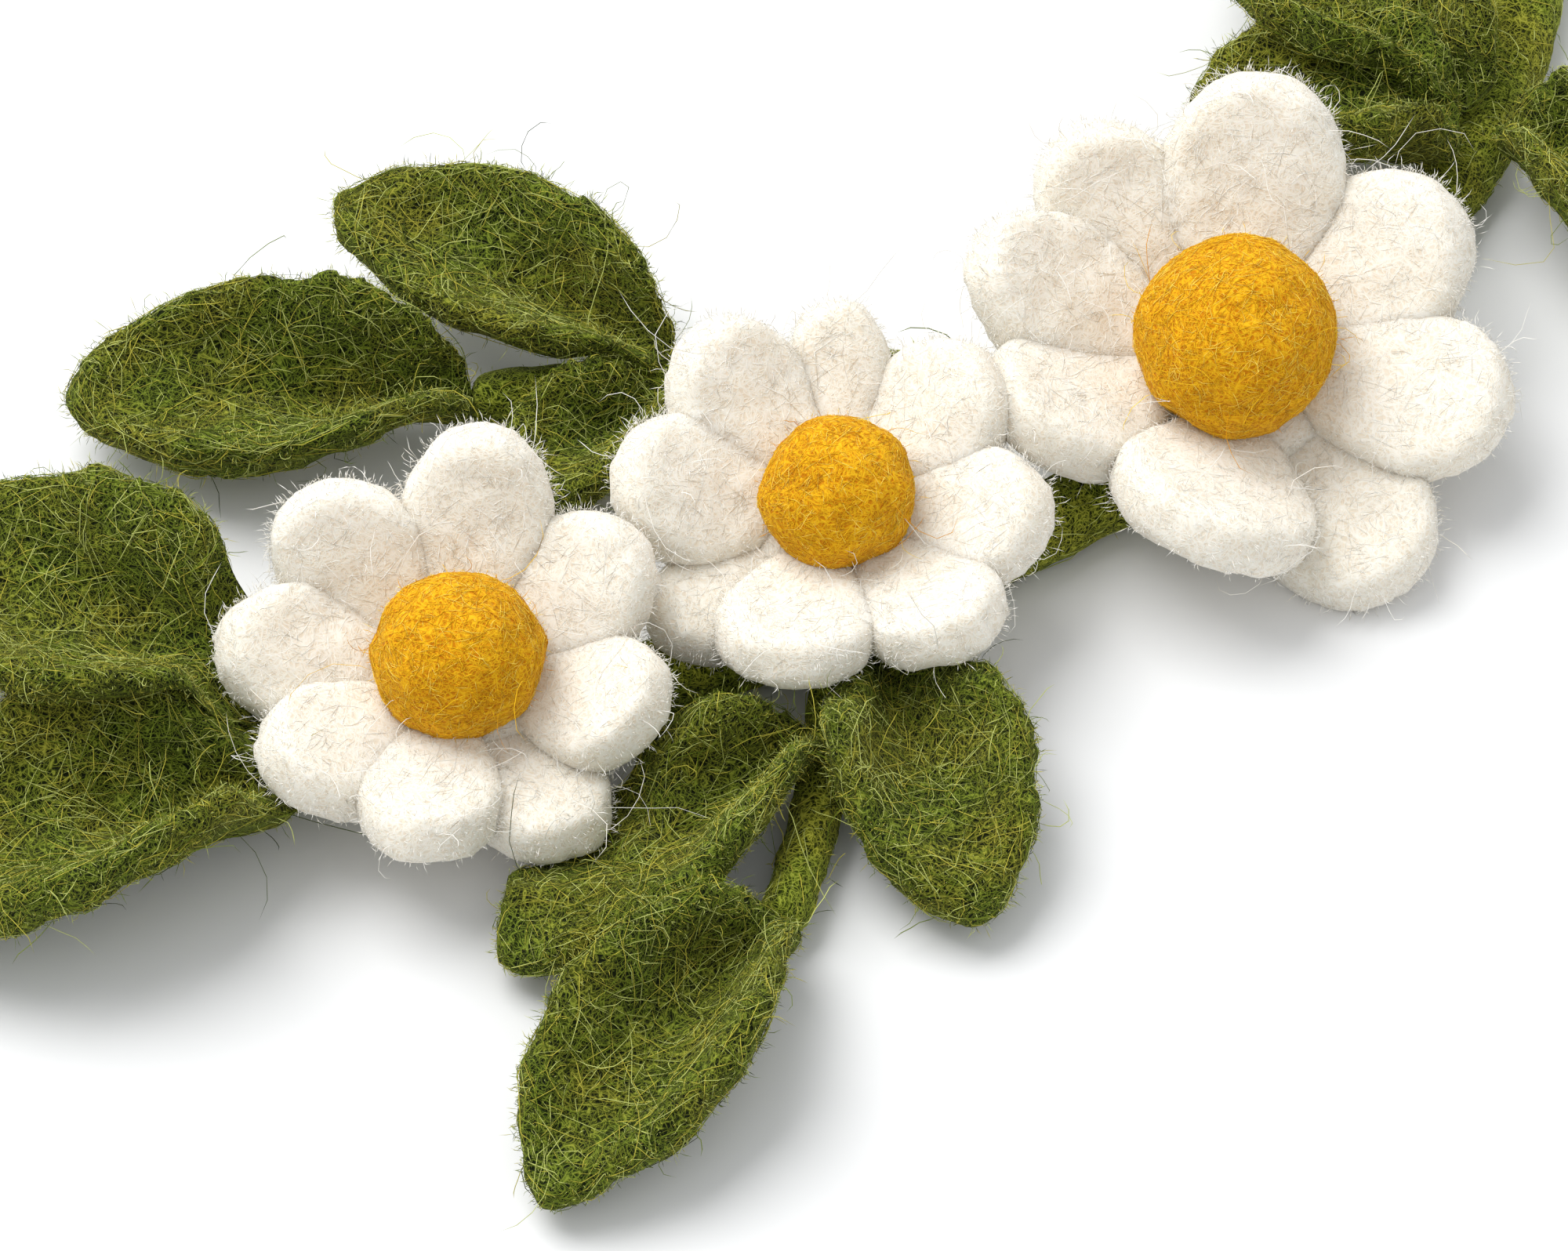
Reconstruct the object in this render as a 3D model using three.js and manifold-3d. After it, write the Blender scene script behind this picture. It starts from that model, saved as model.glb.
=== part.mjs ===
// Felt flower wreath: a ring stem wrapped in green wool carries daisies of cream felt with yellow felt-ball
// centres, leafy side sprigs and tufts of leaves. One stretch of ring, with all that it carries, repeats round
// the wreath. Millimetres, +Z up. The wreath lies flat on a surface at z = 0, its blossoms facing up.
import * as THREE from "three";
import { mergeVertices } from "three/addons/utils/BufferGeometryUtils.js";
import Module from "manifold-3d";

const wasm = await Module();
wasm.setup();

// Driving dimensions of the ring stem
const RING_RADIUS = 118; // mean radius of the stem's middle line
const RING_WAVE = 5.9; // how far the hand-bent ring swings inside and outside a true circle
const RING_STEPS = 54; // sections round the ring
const STEM_RADIUS = 3.6;
const STEM_SIDES = 8;
const STEM_LUMPS = 0.05; // unevenness of the wool wrapping, as a share of the stem's radius
const STEM_LUMPS_PER_STRETCH = 7;
const STEM_HEIGHT = 3.1; // middle line above the surface: less than the radius, so the underside lies flat

// Driving dimensions of the sprigs, leaves and daisies
const SPRIG_RADIUS = 2.2;
const SPRIG_SIDES = 8;
const SPRIG_STEPS = 7;
const LEAF_THICKNESS = 4.4;
const HUB_SHARE = 0.44; // radius of the felt that joins the petals, as a share of the daisy's radius
const HUB_UNDER_SHARE = 0.36; // the same at the underside
const HUB_HEIGHT = 5.4;
const HUB_SIDES = 10;
const PETAL_ROOT_SHARE = 0.24; // where a petal starts, from the daisy's axis
const BALL_SIDES = 10;
const BALL_BANDS = 7;
const GAP = 0.3; // clearance between pieces that touch

// The stretches: the turn of each one's middle, counted from the front, and how far its daisies are turned
const STRETCHES = [
  { name: "front", middle: 24.5, spin: 0 },
  { name: "back", middle: 144.5, spin: 90 },
  { name: "left", middle: 264.5, spin: 225 },
];

// Cross-sections of a leaf from its pinched root to its tip, as shares of its length, width and thickness.
// dish is how far the edges stand above the middle, as a share of the width.
const LEAF_SECTIONS = [
  { along: 0, width: 0.3, dish: 0.12, thick: 0.9 },
  { along: 0.13, width: 0.52, dish: 0.4, thick: 0.95 },
  { along: 0.32, width: 0.88, dish: 0.38, thick: 1 },
  { along: 0.52, width: 1, dish: 0.28, thick: 1 },
  { along: 0.72, width: 0.86, dish: 0.18, thick: 1 },
  { along: 0.9, width: 0.48, dish: 0.08, thick: 0.9 },
  { along: 1, width: 0.12, dish: 0, thick: 0.6 },
];

// The same for a petal, which is blunt and round at its end
const PETAL_SECTIONS = [
  { along: 0, width: 0.56, dish: 0, thick: 0.85 },
  { along: 0.48, width: 0.96, dish: 0.06, thick: 1 },
  { along: 0.82, width: 0.96, dish: 0.08, thick: 1 },
  { along: 1, width: 0.48, dish: 0, thick: 0.6 },
];

// Places across a section, from one edge to the other, with the share of the thickness left there.
// Where nothing is left, top and bottom meet in one point.
const LEAF_PLACES = [
  { across: 0.98, full: 0.55 },
  { across: 0.32, full: 1 },
  { across: -0.32, full: 1 },
  { across: -0.98, full: 0.55 },
];
const PETAL_PLACES = [
  { across: 1, full: 0 },
  { across: 0.66, full: 1 },
  { across: -0.66, full: 1 },
  { across: -1, full: 0 },
];

// The daisies of a stretch. around: degrees from the stretch's middle. out: millimetres outward from the stem.
// height: where the underside sits over the stem. leanOut and leanAlong tip the blossom outward and along the
// stem, in degrees. rise: how far the petals cup up. Each petal has its turn about the daisy's axis and its own
// share of the daisy's radius, petal width and rise.
const DAISIES = [
  {
    name: "daisy_1", around: -16.4, out: -2.8, height: 5.8, leanOut: 17, leanAlong: -2,
    radius: 20.6, rise: 7.6, petalWidth: 13.4, petalThickness: 5, ballRadius: 8.1, ballRise: 9.8,
    petals: [
      { turn: 27, long: 0.97, wide: 1.02, rise: 0.9 },
      { turn: 76, long: 1.04, wide: 1.02, rise: 1.2 },
      { turn: 126, long: 1.03, wide: 1.02, rise: 1.1 },
      { turn: 168, long: 1.06, wide: 1, rise: 0.9 },
      { turn: 210, long: 1, wide: 1, rise: 1.1 },
      { turn: 252, long: 0.98, wide: 0.98, rise: 1.15 },
      { turn: 294, long: 1.02, wide: 0.95, rise: 0.65 },
      { turn: 337, long: 0.94, wide: 0.98, rise: 0.95 },
    ],
  },
  {
    name: "daisy_2", around: 4.8, out: -7, height: 7, leanOut: 13, leanAlong: -6,
    radius: 20.2, rise: 7.4, petalWidth: 13.4, petalThickness: 5, ballRadius: 7.5, ballRise: 9.4,
    petals: [
      { turn: 17, long: 0.97, wide: 1.02, rise: 0.9 },
      { turn: 61, long: 1.02, wide: 0.7, rise: 0.8 },
      { turn: 102, long: 1.02, wide: 1.02, rise: 1 },
      { turn: 148, long: 1.02, wide: 1.08, rise: 1 },
      { turn: 190, long: 1.06, wide: 0.85, rise: 0.5 },
      { turn: 225, long: 1, wide: 1.1, rise: 1.05 },
      { turn: 279, long: 1, wide: 1.02, rise: 1.1 },
      { turn: 325, long: 0.96, wide: 1.02, rise: 0.9 },
    ],
  },
  {
    name: "daisy_3", around: 26.7, out: -1.6, height: 5.8, leanOut: 11, leanAlong: -11,
    radius: 25.4, rise: 9, petalWidth: 16.4, petalThickness: 5.4, ballRadius: 10, ballRise: 11.4,
    petals: [
      { turn: -15, long: 1, wide: 1.05, rise: 0.9 },
      { turn: 33, long: 1.02, wide: 1.08, rise: 1.2 },
      { turn: 76, long: 1.04, wide: 0.92, rise: 1 },
      { turn: 111, long: 1.02, wide: 0.9, rise: 1.05 },
      { turn: 151, long: 0.95, wide: 1, rise: 1.05 },
      { turn: 212, long: 0.93, wide: 1.2, rise: 1.2 },
      { turn: 255, long: 1.1, wide: 1.15, rise: 0.55 },
      { turn: 297, long: 1.06, wide: 1, rise: 0.4 },
    ],
  },
];

// The wrapped stems of the side sprigs: points on their middle lines, from the ring outward
const SPRIGS = [
  {
    name: "inner_sprig",
    points: [
      { around: 22.5, out: -4, height: 3 },
      { around: 18.9, out: -17.7, height: 3 },
      { around: 11.9, out: -27, height: 3.2 },
      { around: 3, out: -33, height: 3.4 },
      { around: -12.1, out: -38.8, height: 3.8 },
    ],
  },
  {
    name: "outer_sprig",
    points: [
      { around: 2.2, out: 3.6, height: 3 },
      { around: 0.6, out: 9, height: 3.2 },
      { around: -2.9, out: 22, height: 3.6 },
      { around: -5.9, out: 31.8, height: 3.8 },
    ],
  },
];

// The leaves. heading: degrees from the stem's own direction, positive towards the wreath's middle.
// lift and rise: heights of the leaf's middle and tip over its root. sway: how far the tip bends to the left.
const LEAVES = [
  {
    name: "inner_leaf_1", around: 2, out: -34.6, height: 5.4, heading: 122,
    length: 36, width: 18, lift: 2, rise: 5, sway: 3, roll: -10,
  },
  {
    name: "inner_leaf_2", around: -12.5, out: -39, height: 4.4, heading: 174,
    length: 39, width: 20, lift: 1, rise: 1.5, sway: -2, roll: -12,
  },
  {
    name: "inner_leaf_3", around: 1.2, out: -31.4, height: 4, heading: -161,
    length: 23.5, width: 13, lift: 1, rise: 1, sway: 0, roll: 0,
  },
  {
    name: "outer_leaf_1", around: 3.2, out: 7, height: 3.8, heading: -98,
    length: 32, width: 19.5, lift: 1, rise: 0, sway: -2, roll: 0,
  },
  {
    name: "outer_leaf_2", around: -1.8, out: 13.6, height: 4.4, heading: -165,
    length: 37, width: 18.5, lift: 1, rise: -1, sway: 3, roll: 0,
  },
  {
    name: "outer_leaf_3", around: -6.1, out: 32.4, height: 4.4, heading: -147,
    length: 36.5, width: 19, lift: 1, rise: -1, sway: 2, roll: 0,
  },
  {
    name: "near_tuft_leaf_1", around: -25, out: -4.4, height: 8.4, heading: 163,
    length: 41, width: 25, lift: 3, rise: 2, sway: 0, roll: -6,
  },
  {
    name: "near_tuft_leaf_2", around: -24.6, out: 6.6, height: 5.2, heading: -164,
    length: 42, width: 26, lift: 2, rise: -1.5, sway: 0, roll: 6,
  },
  {
    name: "far_tuft_leaf_1", around: 44.6, out: -1, height: 7.2, heading: 102,
    length: 26, width: 23, lift: 2, rise: 3, sway: 0, roll: 10,
  },
  {
    name: "far_tuft_leaf_2", around: 47, out: -1.6, height: 7.8, heading: 60,
    length: 34, width: 23, lift: 2, rise: 2, sway: 0, roll: 0,
  },
  {
    name: "far_tuft_leaf_3", around: 46.4, out: 3.4, height: 7, heading: -108,
    length: 34, width: 21, lift: 1, rise: -3, sway: 0, roll: 0,
  },
];

const COLOURS = { stem: 0x4c6422, leaf: 0x47651f, petal: 0xf0eadc, centre: 0xe3a20e };
const felt = (color) => new THREE.MeshStandardMaterial({ color, roughness: 0.95, metalness: 0 });

const UP = new THREE.Vector3(0, 0, 1);
const FULL_TURN = 2 * Math.PI;
const radians = THREE.MathUtils.degToRad;

// A closed skin over a row of like sections, each a ring of points that runs from the left over the top.
// The ends are closed by fans, or the last section joins the first.
function loft(sections, joined = false) {
  const count = sections[0].length;
  const points = sections.flat();
  const faces = [];
  const lastStep = joined ? sections.length : sections.length - 1;
  for (let step = 0; step < lastStep; step++) {
    const here = step * count;
    const next = ((step + 1) % sections.length) * count;
    for (let i = 0; i < count; i++) {
      const j = (i + 1) % count;
      faces.push(here + i, here + j, next + i, here + j, next + j, next + i);
    }
  }
  const closeEnd = (start, facingBack) => {
    const middle = new THREE.Vector3();
    for (let i = 0; i < count; i++) middle.addScaledVector(points[start + i], 1 / count);
    points.push(middle);
    for (let i = 0; i < count; i++) {
      const j = (i + 1) % count;
      faces.push(points.length - 1, start + (facingBack ? j : i), start + (facingBack ? i : j));
    }
  };
  if (!joined) {
    closeEnd(0, true);
    closeEnd((sections.length - 1) * count, false);
  }
  const geometry = new THREE.BufferGeometry().setFromPoints(points);
  geometry.setIndex(faces);
  return geometry;
}

// A closed geometry as a solid that can be joined and cut, and back
function solidOf(geometry) {
  const bare = geometry.clone();
  bare.deleteAttribute("normal");
  bare.deleteAttribute("uv");
  const merged = mergeVertices(bare, 1e-4);
  const vertProperties = merged.attributes.position.array;
  const triVerts = new Uint32Array(merged.index.array);
  return new wasm.Manifold(new wasm.Mesh({ numProp: 3, vertProperties, triVerts }));
}

function geometryOf(solid) {
  const mesh = solid.getMesh();
  const geometry = new THREE.BufferGeometry();
  geometry.setAttribute("position", new THREE.BufferAttribute(new Float32Array(mesh.vertProperties), 3));
  geometry.setIndex(new THREE.BufferAttribute(new Uint32Array(mesh.triVerts), 1));
  geometry.computeVertexNormals();
  return geometry;
}

// A thick felt blade along a curve. grow fattens it on every side, more upright where a dished side is steep,
// and lengthens it at both ends.
function blade(curve, sections, places, { width, thickness, roll = 0, grow = 0 }) {
  const before = { ...sections[0], overhang: -grow };
  const after = { ...sections.at(-1), overhang: grow };
  const stations = grow > 0 ? [before, ...sections, after] : sections;
  return loft(
    stations.map(({ along, overhang = 0, ...section }) => {
      const forward = curve.getTangent(along);
      const left = new THREE.Vector3().crossVectors(UP, forward).normalize();
      left.applyAxisAngle(forward, radians(roll));
      const above = new THREE.Vector3().crossVectors(forward, left);
      const middle = curve.getPoint(along).addScaledVector(forward, overhang);
      const half = (section.width * width) / 2;
      const pointAt = ({ across, full }, side) => {
        const sideways = across * (half + grow);
        const dished = section.dish * width * (sideways / half) ** 2;
        const slope = (2 * dished) / (Math.abs(sideways) || 1);
        const fattened = grow * Math.hypot(1, slope);
        const fromMiddle = full > 0 ? (section.thick * full * thickness) / 2 + fattened : 0;
        const upward = dished + side * fromMiddle;
        return middle.clone().addScaledVector(left, sideways).addScaledVector(above, upward);
      };
      const top = places.map((spot) => pointAt(spot, 1));
      const bottom = places.filter((spot) => spot.full > 0).map((spot) => pointAt(spot, -1));
      return [...top, ...bottom.reverse()];
    }),
  );
}

// The ring stem's middle line, at an angle counted from a stretch's middle
function ringRadius(angle) {
  return RING_RADIUS - RING_WAVE * Math.cos(STRETCHES.length * angle);
}

// A place in a stretch whose middle points along -Y: around the ring, out from the stem and above the surface
function place({ around, out, height }) {
  const angle = radians(around);
  const radius = ringRadius(angle) + out;
  return new THREE.Vector3(radius * Math.sin(angle), -radius * Math.cos(angle), height);
}

function ringStem(grow = 0) {
  const sections = [];
  for (let step = 0; step < RING_STEPS; step++) {
    const angle = (FULL_TURN * step) / RING_STEPS;
    const lumps = STEM_LUMPS * Math.sin(STRETCHES.length * STEM_LUMPS_PER_STRETCH * angle);
    const radius = STEM_RADIUS * (1 + lumps) + grow;
    const section = [];
    for (let side = 0; side < STEM_SIDES; side++) {
      const turn = (FULL_TURN * (side + 0.5)) / STEM_SIDES;
      const height = STEM_HEIGHT + radius * Math.sin(turn);
      const point = place({ around: THREE.MathUtils.radToDeg(angle), out: -radius * Math.cos(turn), height });
      point.z = Math.max(point.z, -grow);
      section.push(point);
    }
    sections.push(section);
  }
  return loft(sections, true);
}

function sprigStem({ points }, grow = 0) {
  const middleLine = new THREE.CatmullRomCurve3(points.map(place));
  const section = new THREE.Shape();
  section.absarc(0, 0, SPRIG_RADIUS + grow, 0, FULL_TURN);
  return new THREE.ExtrudeGeometry(section, {
    extrudePath: middleLine,
    steps: SPRIG_STEPS,
    curveSegments: SPRIG_SIDES / 2,
    bevelEnabled: false,
  });
}

function leafBlade({ length, width, lift, rise, sway, roll }, grow = 0) {
  const root = new THREE.Vector3(0, 0, 0);
  const bend = new THREE.Vector3(length / 2, 0, lift);
  const tip = new THREE.Vector3(length, sway, rise);
  const curve = new THREE.QuadraticBezierCurve3(root, bend, tip);
  return blade(curve, LEAF_SECTIONS, LEAF_PLACES, { width, thickness: LEAF_THICKNESS, roll, grow });
}

function feltBall({ ballRadius }, grow = 0) {
  return solidOf(new THREE.SphereGeometry(ballRadius + grow, BALL_SIDES, BALL_BANDS));
}

// A daisy's felt: petals joined at a hub, built round the daisy's own axis with its underside at z = 0
function daisyFelt({ radius, petalWidth, petalThickness, rise, petals }, spin, grow = 0) {
  const wide = HUB_SHARE * radius + grow;
  const narrow = HUB_UNDER_SHARE * radius + grow;
  const hub = new THREE.CylinderGeometry(wide, narrow, HUB_HEIGHT + 2 * grow, HUB_SIDES);
  hub.rotateX(Math.PI / 2).translate(0, 0, HUB_HEIGHT / 2);
  return petals.reduce((made, petal) => {
    const start = PETAL_ROOT_SHARE * radius;
    const reach = petal.long * radius;
    const height = HUB_HEIGHT / 2;
    const curve = new THREE.QuadraticBezierCurve3(
      new THREE.Vector3(start, 0, height),
      new THREE.Vector3((start + reach) / 2, 0, height),
      new THREE.Vector3(reach, 0, height + petal.rise * rise),
    );
    const size = { width: petal.wide * petalWidth, thickness: petalThickness, grow };
    const lobe = blade(curve, PETAL_SECTIONS, PETAL_PLACES, size).rotateZ(radians(petal.turn + spin));
    return made.add(solidOf(lobe));
  }, solidOf(hub));
}

// A mesh that waits to be cut clear of its neighbours: build(grow) gives its geometry, fattened by grow.
function piece(name, colour, build) {
  const mesh = new THREE.Mesh(undefined, felt(colour));
  mesh.name = name;
  return { mesh, build };
}

// All that one stretch of the ring carries, in the order in which later pieces give way to earlier ones
function stretchPieces({ name, spin }) {
  const pieces = [];
  for (const daisy of DAISIES) {
    const orient = (mesh, lift) => {
      mesh.rotation.set(radians(daisy.leanOut), radians(daisy.leanAlong), radians(daisy.around), "ZXY");
      mesh.position.copy(place(daisy)).add(new THREE.Vector3(0, 0, lift).applyEuler(mesh.rotation));
    };
    const label = `${name}_${daisy.name}`;
    const ball = piece(`${label}_centre`, COLOURS.centre, (grow) => feltBall(daisy, grow));
    const petals = piece(`${label}_petals`, COLOURS.petal, (grow) => daisyFelt(daisy, spin, grow));
    orient(ball.mesh, daisy.ballRise);
    orient(petals.mesh, 0);
    pieces.push(ball, petals);
  }
  for (const sprig of SPRIGS) {
    pieces.push(piece(`${name}_${sprig.name}_stem`, COLOURS.stem, (grow) => solidOf(sprigStem(sprig, grow))));
  }
  for (const leaf of LEAVES) {
    const made = piece(`${name}_${leaf.name}`, COLOURS.leaf, (grow) => solidOf(leafBlade(leaf, grow)));
    made.mesh.position.copy(place(leaf));
    made.mesh.rotation.z = radians(leaf.around + leaf.heading);
    pieces.push(made);
  }
  return pieces;
}

// A solid carried to the place that a matrix gives
function moved(solid, matrix) {
  return solidOf(geometryOf(solid).applyMatrix4(matrix));
}

// Cuts each piece back until it clears the ring and every earlier piece by the gap
function fitTogether(pieces, ring) {
  const placed = [ring];
  for (const { mesh, build } of pieces) {
    mesh.updateMatrix();
    let solid = moved(build(0), mesh.matrix);
    for (const neighbour of placed) solid = solid.subtract(neighbour);
    placed.push(moved(build(GAP), mesh.matrix));
    mesh.geometry = geometryOf(solid).applyMatrix4(mesh.matrix.clone().invert());
  }
}

const wreath = new THREE.Group();
const ringMesh = new THREE.Mesh(ringStem(), felt(COLOURS.stem));
ringMesh.name = "ring_stem";
ringMesh.rotation.z = radians(STRETCHES[0].middle);
wreath.add(ringMesh);

const fatRing = solidOf(ringStem(GAP));
for (const stretch of STRETCHES) {
  const group = new THREE.Group();
  group.rotation.z = radians(stretch.middle);
  const pieces = stretchPieces(stretch);
  fitTogether(pieces, fatRing);
  for (const { mesh } of pieces) group.add(mesh);
  wreath.add(group);
}

// The origin lies under the middle of the wreath, on the surface that it rests on.
const bounds = new THREE.Box3().setFromObject(wreath, true);
const middle = bounds.getCenter(new THREE.Vector3());
wreath.position.set(-middle.x, -middle.y, -bounds.min.z);

export default wreath;
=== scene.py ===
# Felt flower wreath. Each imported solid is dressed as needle-felted wool: a soft lumpy body
# in a matted wool finish, and over it the fibres that lie on it, stand up from it and stray.
import math
from collections import namedtuple

import bpy
import numpy as np
from mathutils import Matrix, Vector
from mathutils.bvhtree import BVHTree


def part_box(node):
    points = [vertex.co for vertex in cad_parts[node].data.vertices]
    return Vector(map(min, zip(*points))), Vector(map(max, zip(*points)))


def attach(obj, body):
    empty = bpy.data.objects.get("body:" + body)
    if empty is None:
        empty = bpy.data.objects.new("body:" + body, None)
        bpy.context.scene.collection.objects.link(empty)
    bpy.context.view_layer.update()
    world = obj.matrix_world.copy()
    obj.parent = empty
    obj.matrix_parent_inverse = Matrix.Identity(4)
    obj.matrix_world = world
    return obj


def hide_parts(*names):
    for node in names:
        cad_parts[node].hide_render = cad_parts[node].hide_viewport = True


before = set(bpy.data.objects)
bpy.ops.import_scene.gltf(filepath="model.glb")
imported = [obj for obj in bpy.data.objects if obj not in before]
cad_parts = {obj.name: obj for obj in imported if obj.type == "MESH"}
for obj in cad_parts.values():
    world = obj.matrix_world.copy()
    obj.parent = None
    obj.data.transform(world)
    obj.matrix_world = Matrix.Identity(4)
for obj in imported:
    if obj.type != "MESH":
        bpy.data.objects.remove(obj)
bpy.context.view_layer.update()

random = np.random.default_rng(7)

MM = 0.001
UP = Vector((0, 0, 1))

# The photograph's view
VIEW_ELEVATION = math.radians(52)
VIEW_DISTANCE = 800 * MM
VIEW_WIDTH = 149 * MM
VIEW_START = 10 * MM
AIM_FROM_MIDDLE_DAISY = Vector((-5.2, -11.87, -6.11)) * MM

# The light from the upper left, in metres and watts, the pale studio around it and the white floor
KEY_PLACE = Vector((-0.50, 0.42, 1.00))
KEY_SIZE = 0.9
KEY_POWER = 15
STUDIO_COLOUR = (0.965, 0.985, 1, 1)
STUDIO_STRENGTH = 0.8
FLOOR_SIZE = 8
FLOOR_GAP = 0.02 * MM
FLOOR_COLOUR = (0.80, 0.80, 0.80, 1)
FLOOR_ROUGHNESS = 0.9

# The felt bodies. voxel: size of the even mesh; swell: growth before the edges are rounded; passes: how
# often they are rounded; lump, grain: height of the broad lumps and of the fine unevenness, in millimetres
BODIES = {
    "petals": dict(voxel=0.85, passes=8, swell=0.40, lump=0.40, grain=0.12, slot="cream_petal"),
    "centre": dict(voxel=0.80, passes=36, swell=0.75, lump=0.60, grain=0.12, slot="yellow_centre"),
    "leaf": dict(voxel=0.90, passes=5, swell=0.60, lump=0.85, grain=0.12, slot="green_leaf"),
    "stem": dict(voxel=1.15, passes=4, swell=0.65, lump=0.40, grain=0.16, slot="green_stem"),
}
LUMP_SIZE = 5.0 * MM
GRAIN_SIZE = 1.3 * MM
ROUNDING = 0.5
MERGE_GAP = 0.005 * MM

# The stretches that the photograph doesn't show have a coarser mesh
COARSER_AWAY = 1.6

# A leaf's hollow and the crease in it: their depths in millimetres, where along the leaf they are deepest
# and how far they reach, as shares of its length, and how wide they are, as shares of half its width
LEAF_STATIONS = 14
EVEN_OUT = (0.25, 0.5, 0.25)
HOLLOW_DEPTH = 2.8
CREASE_DEPTH = 1.0
HOLLOW_PLACE = 0.26
HOLLOW_LENGTH = 0.36
HOLLOW_SHARE = 0.5
CREASE_SHARE = 0.12

# The rims beside the hollow: how far they rise and their undersides drop, in millimetres, and their place
# and reach in the same shares. A face that looks up or down by more than FULL_FACING moves all the way.
RIM_RISE = 1.4
RIM_DROP = 1.0
RIM_START = 0.25
RIM_MIDDLE = 0.38
RIM_LENGTH = 0.6
RIM_PLACE = 0.92
RIM_SHARE = 0.32
FULL_FACING = 0.5

# How a leaf is pressed under petals, in millimetres: how far aside petals still hold it down and how
# steeply it may rise beside them, the gap left to them, and the least height that it keeps
PRESS_REACHES = (0, 1.4, 2.8, 4.2)
PRESS_WAYS = 6
PRESS_SLOPE = 0.5
PRESS_GAP = 0.5
PRESS_LEFT = 1.2
PRESS_PASSES = 8

# By what share a ball is pressed together, and how far it sinks in, in millimetres
BALL_PRESS = 0.07
BALL_SINK = 0.6

# The thirds of the ring: the turn of each one's middle and how far its daisies are turned, in degrees
STRETCHES = {"front": (24.5, 0), "back": (144.5, 90), "left": (264.5, 225)}

# The daisies, close to their solids, in millimetres and degrees. Each petal: its turn about the
# daisy's axis, its shares of the daisy's radius, of the petal width and of the petals' rise, and
# how far it lies above or below its neighbours.
DAISIES = {
    1: dict(
        around=-16.4, lean_out=17, lean_along=-2, radius=20.6, rise=7.6, wide=13.4, thick=5.0, ball_rise=9.8,
        petals=(
            (27, 0.97, 1.02, 0.9, 0.3), (76, 1.04, 1.02, 1.2, 1.1), (126, 1.03, 1.02, 1.1, 0.0),
            (168, 1.06, 1.0, 0.9, -0.6), (210, 1.0, 1.0, 1.1, 0.4), (252, 0.98, 0.98, 1.15, 1.1),
            (294, 1.02, 0.95, 0.65, -1.2), (337, 0.94, 0.98, 0.95, 0.0),
        ),
    ),
    2: dict(
        around=4.8, lean_out=13, lean_along=-6, radius=20.2, rise=7.4, wide=13.4, thick=5.0, ball_rise=9.4,
        petals=(
            (17, 0.97, 1.02, 0.9, -0.4), (61, 1.02, 0.7, 0.8, -1.2), (102, 1.02, 1.02, 1.0, 0.6),
            (148, 1.02, 1.08, 1.0, 0.7), (190, 1.06, 0.85, 0.5, -1.6), (225, 1.0, 1.1, 1.05, 1.0),
            (279, 1.0, 1.02, 1.1, 0.7), (325, 0.96, 1.02, 0.9, 0.3),
        ),
    ),
    3: dict(
        around=26.7, lean_out=11, lean_along=-11, radius=25.4, rise=9.0, wide=16.4, thick=5.4, ball_rise=11.4,
        petals=(
            (-15, 1.0, 1.05, 0.9, 0.0), (33, 1.02, 1.08, 1.2, 1.0), (76, 1.04, 0.92, 1.0, -1.0),
            (111, 1.02, 0.9, 1.05, 0.3), (151, 0.95, 1.0, 1.05, 0.5), (212, 0.93, 1.2, 1.2, 1.0),
            (255, 1.1, 1.02, 0.5, -2.6), (297, 1.06, 1.0, 0.45, 1.2),
        ),
    ),
}
HUB_HEIGHT = 5.4
HUB_SHARE = 0.42

# A petal's form: where it starts, as a share of the daisy's radius; how much fuller and thicker its pad is
# before rounding; its width at the root as a share, and where along it is at its full width; how far its
# sides curl up, as a share of half its width; and how much petals twist, in degrees
PETAL_START = 0.24
PETAL_FULLNESS = 1.04
PETAL_THICKNESS = 1.22
PETAL_ROOT_WIDTH = 0.56
PETAL_FULL_AT = 0.62
PETAL_CURL = 0.05
PETAL_TWIST = 9

# A pad of felt: the power that rounds its outline, how much thinner its rim is, and its cuts
PAD_OUTLINE = 2.3
PAD_CROWN = 0.30
PAD_CUTS = 9

# Dull wool, and the sheen of each colour: its weight and tint
WOOL_ROUGHNESS = 0.9
WOOL_SPECULAR = 0.1
SHEEN_ROUGHNESS = 0.5
CREAM_SHEEN = (0.25, (1.0, 0.96, 0.90))
YELLOW_SHEEN = (0.15, (1.0, 0.75, 0.25))
GREEN_SHEEN = (0.12, (0.75, 0.80, 0.25))

# How light passes into the cream felt: its share, how far it goes, and each colour's share of that way
GLOW_SHARE = 0.25
GLOW_REACH = 3 * MM
GLOW_COLOURS = (1.0, 0.88, 0.74)

# How the fibres of the matted finish lie: the (tilt, heading) of each layer in radians. A layer's fibres
# are the contour lines of soft noise, which is stretched along the layer, so they wander as wool does.
FIBRE_LAYERS = ((0.25, 0.1), (-0.3, 0.65), (0.1, 1.15), (-0.2, 1.7), (0.35, 2.2), (-0.1, 2.75))
CONTOUR_STEP = 0.05
LAYER_OFFSET = 0.137

# The heights at which gaps (painted shade), fibres and the topmost fibres take their tone, the size of the
# patches in the other tones, given as noise to a metre, and where they begin and are full
SHADE_AND_TONE_HEIGHTS = (0.66, 0.88, 0.985)
PATCH_SCALE = 110
PATCH_DETAIL = 2
PATCH_START = 0.42
PATCH_FULL = 0.62
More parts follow.
